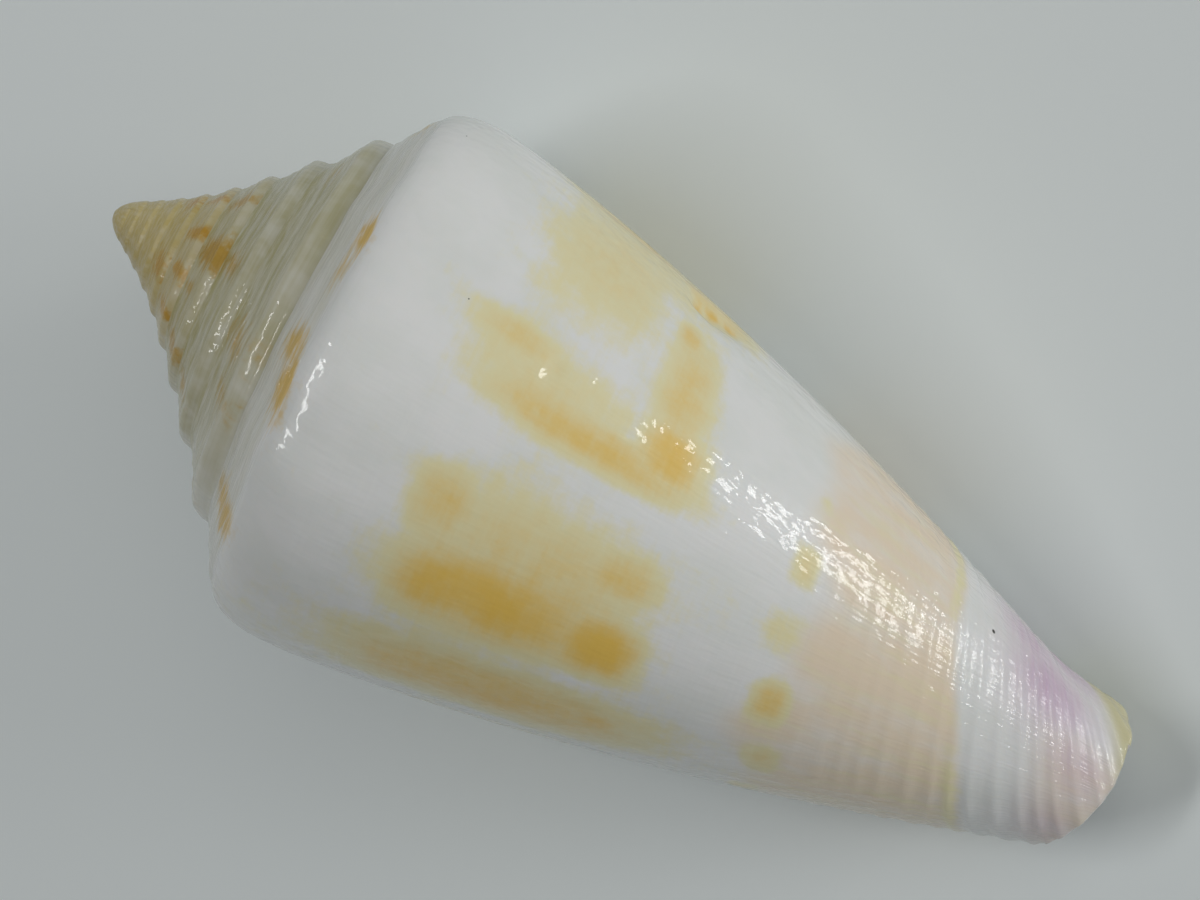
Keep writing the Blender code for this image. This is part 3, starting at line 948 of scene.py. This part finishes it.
def fine_bumps(tree, growth):
    """Two bumps: close growth lines and spiral scratches for the glaze, and the same with a shallow
    unevenness for its clear coat, which breaks up the shine."""
    lines = noise_node(tree, growth, *CLOSE_LINES)
    scratches = noise_node(tree, growth, *SCRATCHES)
    uneven = noise_node(tree, growth, *UNEVEN)
    fine = weighed_sum(tree, (lines, scratches), FINE_SHARES)
    parts = tree.nodes.new("ShaderNodeSeparateXYZ")
    tree.links.new(growth, parts.inputs[0])
    front = eased_node(tree, parts.outputs["Y"], BASE_THREADS_FROM, BASE_THREADS_FULL, *COAT_FINE_SHARE)
    rough = maths(tree, "ADD", maths(tree, "MULTIPLY", fine, front), uneven)
    return bump_node(tree, fine, GLAZE_BUMP), bump_node(tree, rough, COAT_BUMP)


def shell_material(settings):
    """Glazed shell: porcelain gloss under a thin clear coat, with procedural markings."""
    material = bpy.data.materials.new("glazed_shell")
    material.use_nodes = True
    tree = material.node_tree
    surface = tree.nodes["Principled BSDF"]
    growth = tree.nodes.new("ShaderNodeUVMap")
    growth.uv_map = "growth"
    growth = growth.outputs["UV"]
    tree.links.new(pigment(tree, growth, settings), surface.inputs["Base Color"])
    glaze, coat = fine_bumps(tree, growth)
    tree.links.new(glaze, surface.inputs["Normal"])
    tree.links.new(coat, surface.inputs["Coat Normal"])
    surface.inputs["Roughness"].default_value = settings.roughness
    surface.inputs["Specular IOR Level"].default_value = SPECULAR_LEVEL
    surface.inputs["Coat Weight"].default_value = COAT_WEIGHT
    surface.inputs["Coat Roughness"].default_value = COAT_ROUGHNESS
    surface.inputs["Subsurface Weight"].default_value = SUBSURFACE_WEIGHT
    surface.inputs["Subsurface Radius"].default_value = SUBSURFACE_RADIUS
    surface.inputs["Subsurface Scale"].default_value = SUBSURFACE_DEPTH * MM
    return material


def plain_material(name, colour, roughness):
    """One flat pale finish for the stage."""
    material = bpy.data.materials.new(name)
    material.use_nodes = True
    surface = material.node_tree.nodes["Principled BSDF"]
    surface.inputs["Base Color"].default_value = colour
    surface.inputs["Roughness"].default_value = roughness
    return material


def colour_setting(name, description, default):
    """A colour that a user can change."""
    return bpy.props.FloatVectorProperty(
        name=name, description=description, default=default, size=4, min=0.0, max=1.0, subtype="COLOR"
    )


def power_setting(name, description, default):
    """The power of a light, in watts, that a user can change."""
    return bpy.props.FloatProperty(
        name=name, description=description, default=default, min=0.0, unit="POWER"
    )


class ConeShellLooks(bpy.types.PropertyGroup):
    """Colours and fine sizes of the shell."""

    enamel: colour_setting("Enamel", "White of the body whorl", (0.80, 0.80, 0.78, 1.0))
    enamel_shade: colour_setting("Enamel shade", "Cloudy parts of the white", (0.76, 0.77, 0.74, 1.0))
    pale_yellow: colour_setting("Pale yellow", "Thin parts of the marks", (0.80, 0.74, 0.46, 1.0))
    ochre: colour_setting("Ochre", "Deep parts of the marks", (0.82, 0.54, 0.11, 1.0))
    flame: colour_setting("Flame", "Stain that darkens the spire in flames", (0.95, 0.64, 0.18, 1.0))
    tan: colour_setting("Tan", "Band before the front end", (0.82, 0.69, 0.53, 1.0))
    violet: colour_setting("Violet", "Stains at the front end", (0.59, 0.43, 0.56, 1.0))
    rim: colour_setting("Rim", "Olive rim at the front", (0.62, 0.58, 0.36, 1.0))
    spire_cream: colour_setting("Spire cream", "Early whorls", (0.53, 0.42, 0.14, 1.0))
    spire_green: colour_setting("Spire green", "Later ramps", (0.40, 0.36, 0.14, 1.0))
    cavity: colour_setting("Cavity", "Inside of the aperture", (0.82, 0.80, 0.76, 1.0))
    speck: colour_setting("Speck", "Tiny dark specks", (0.03, 0.025, 0.02, 1.0))
    roughness: bpy.props.FloatProperty(
        name="Roughness", description="Roughness of the glaze", default=0.36, min=0.0, max=1.0
    )
    thread_depth: bpy.props.FloatProperty(
        name="Thread depth",
        description="Depth of the spiral threads near the front end",
        default=0.06 * MM,
        min=0.0,
        max=0.2 * MM,
        precision=6,
        subtype="DISTANCE",
        unit="LENGTH",
    )


class ConeShellStage(bpy.types.PropertyGroup):
    """Colours and light of the stage."""

    floor: colour_setting("Floor", "Plain pale floor", (0.82, 0.865, 0.86, 1.0))
    sky: colour_setting("Surroundings", "Soft light from all sides", (0.93, 0.98, 1.0, 1.0))
    sky_strength: bpy.props.FloatProperty(
        name="Surroundings strength", description="Strength of the soft light", default=0.12, min=0.0
    )
    soft_power: power_setting("Soft light", "Power of the large light above", 0.28)
    side_power: power_setting("Side light", "Power of the large light at the side", 0.12)
    window_power: power_setting("Window light", "Power of the tall low light", 0.235)
    front_power: power_setting("Front light", "Power of the small light off the front end", 0.22)
    glint_power: power_setting("Glint light", "Power of the small light over the spire", 0.26)
    lens: bpy.props.FloatProperty(
        name="Lens", description="Focal length of the camera", default=CAMERA_LENS, min=1.0, unit="CAMERA"
    )


class MESH_OT_cone_shell_add(bpy.types.Operator):
    """Adds the cone shell in place of its plain solid"""

    bl_idname = "mesh.cone_shell_add"
    bl_label = "Add Cone Shell"

    def execute(self, context):
        looks = context.scene.cone_shell_looks
        mesh = shell_mesh(looks.thread_depth / MM)
        mesh.materials.append(shell_material(looks))
        item = bpy.data.objects.new("shell_glazed", mesh)
        context.scene.collection.objects.link(item)
        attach(item, "root")
        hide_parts("shell")
        return {"FINISHED"}


def area_light(name, spot, power, size, lean=0.0):
    """A rectangular light that faces the middle of the shell, upright or leaning by an angle."""
    light = bpy.data.lights.new(name, "AREA")
    light.shape = "RECTANGLE"
    light.size, light.size_y = size
    light.energy = power
    item = bpy.data.objects.new(name, light)
    item.location = spot
    item.rotation_mode = "QUATERNION"
    away = Vector(spot) - Vector((0.0, 0.0, AIM_HEIGHT))
    item.rotation_quaternion = away.to_track_quat("Z", "Y") @ Quaternion((0.0, 0.0, 1.0), lean)
    bpy.context.scene.collection.objects.link(item)
    return item


class SCENE_OT_cone_shell_stage(bpy.types.Operator):
    """Adds the plain floor, the soft studio light and the camera"""

    bl_idname = "scene.cone_shell_stage"
    bl_label = "Add Plain Stage"

    def execute(self, context):
        scene = context.scene
        stage = scene.cone_shell_stage
        reach = FLOOR_REACH
        corners = [(-reach, -reach, 0.0), (reach, -reach, 0.0), (reach, reach, 0.0), (-reach, reach, 0.0)]
        mesh = bpy.data.meshes.new("floor")
        mesh.from_pydata(corners, [], [(0, 1, 2, 3)])
        mesh.materials.append(plain_material("pale_floor", stage.floor, FLOOR_ROUGHNESS))
        floor = bpy.data.objects.new("floor", mesh)
        scene.collection.objects.link(floor)

        world = bpy.data.worlds.new("soft_surroundings")
        world.use_nodes = True
        background = world.node_tree.nodes["Background"]
        background.inputs["Color"].default_value = stage.sky
        background.inputs["Strength"].default_value = stage.sky_strength
        scene.world = world
        scene.view_settings.view_transform = "Standard"

        soft = area_light("soft_light", SOFT_PLACE, stage.soft_power, SOFT_SIZE)
        soft.visible_glossy = False
        side = area_light("side_light", SIDE_PLACE, stage.side_power, SIDE_SIZE)
        side.visible_glossy = False
        area_light("window_light", WINDOW_PLACE, stage.window_power, WINDOW_SIZE, WINDOW_LEAN)
        area_light("front_light", FRONT_PLACE, stage.front_power, FRONT_SIZE)
        area_light("glint_light", GLINT_PLACE, stage.glint_power, GLINT_SIZE)

        camera = bpy.data.cameras.new("camera")
        camera.sensor_fit = "HORIZONTAL"
        camera.sensor_width = SENSOR_WIDTH
        camera.lens = stage.lens
        camera.clip_start = NEAREST_SEEN
        camera.clip_end = FARTHEST_SEEN
        item = bpy.data.objects.new("camera", camera)
        look, up = Vector(CAMERA_LOOK).normalized(), Vector(CAMERA_UP).normalized()
        right = look.cross(up).normalized()
        turned = Matrix((right, right.cross(look), -look)).transposed().to_4x4()
        item.matrix_world = Matrix.Translation(Vector(CAMERA_PLACE) * MM) @ turned
        scene.collection.objects.link(item)
        scene.camera = item
        return {"FINISHED"}


class VIEW3D_PT_cone_shell(bpy.types.Panel):
    """Lists the pieces of the cone shell with their settings"""

    bl_idname = "VIEW3D_PT_cone_shell"
    bl_label = "Cone Shell"
    bl_space_type = "VIEW_3D"
    bl_region_type = "UI"
    bl_category = "Cone Shell"

    def draw(self, context):
        layout = self.layout
        scene = context.scene
        layout.operator(MESH_OT_cone_shell_add.bl_idname)
        for name in ConeShellLooks.__annotations__:
            layout.prop(scene.cone_shell_looks, name)
        layout.operator(SCENE_OT_cone_shell_stage.bl_idname)
        for name in ConeShellStage.__annotations__:
            layout.prop(scene.cone_shell_stage, name)


CLASSES = (
    ConeShellLooks,
    ConeShellStage,
    MESH_OT_cone_shell_add,
    SCENE_OT_cone_shell_stage,
    VIEW3D_PT_cone_shell,
)


def register():
    """Registers the classes and their settings."""
    for item in CLASSES:
        bpy.utils.register_class(item)
    bpy.types.Scene.cone_shell_looks = bpy.props.PointerProperty(type=ConeShellLooks)
    bpy.types.Scene.cone_shell_stage = bpy.props.PointerProperty(type=ConeShellStage)


def unregister():
    """Takes the settings and the classes away again."""
    del bpy.types.Scene.cone_shell_stage
    del bpy.types.Scene.cone_shell_looks
    for item in reversed(CLASSES):
        bpy.utils.unregister_class(item)


def main():
    """Builds the shell and its stage."""
    register()
    bpy.ops.mesh.cone_shell_add()
    bpy.ops.scene.cone_shell_stage()


if __name__ == "__main__":
    main()
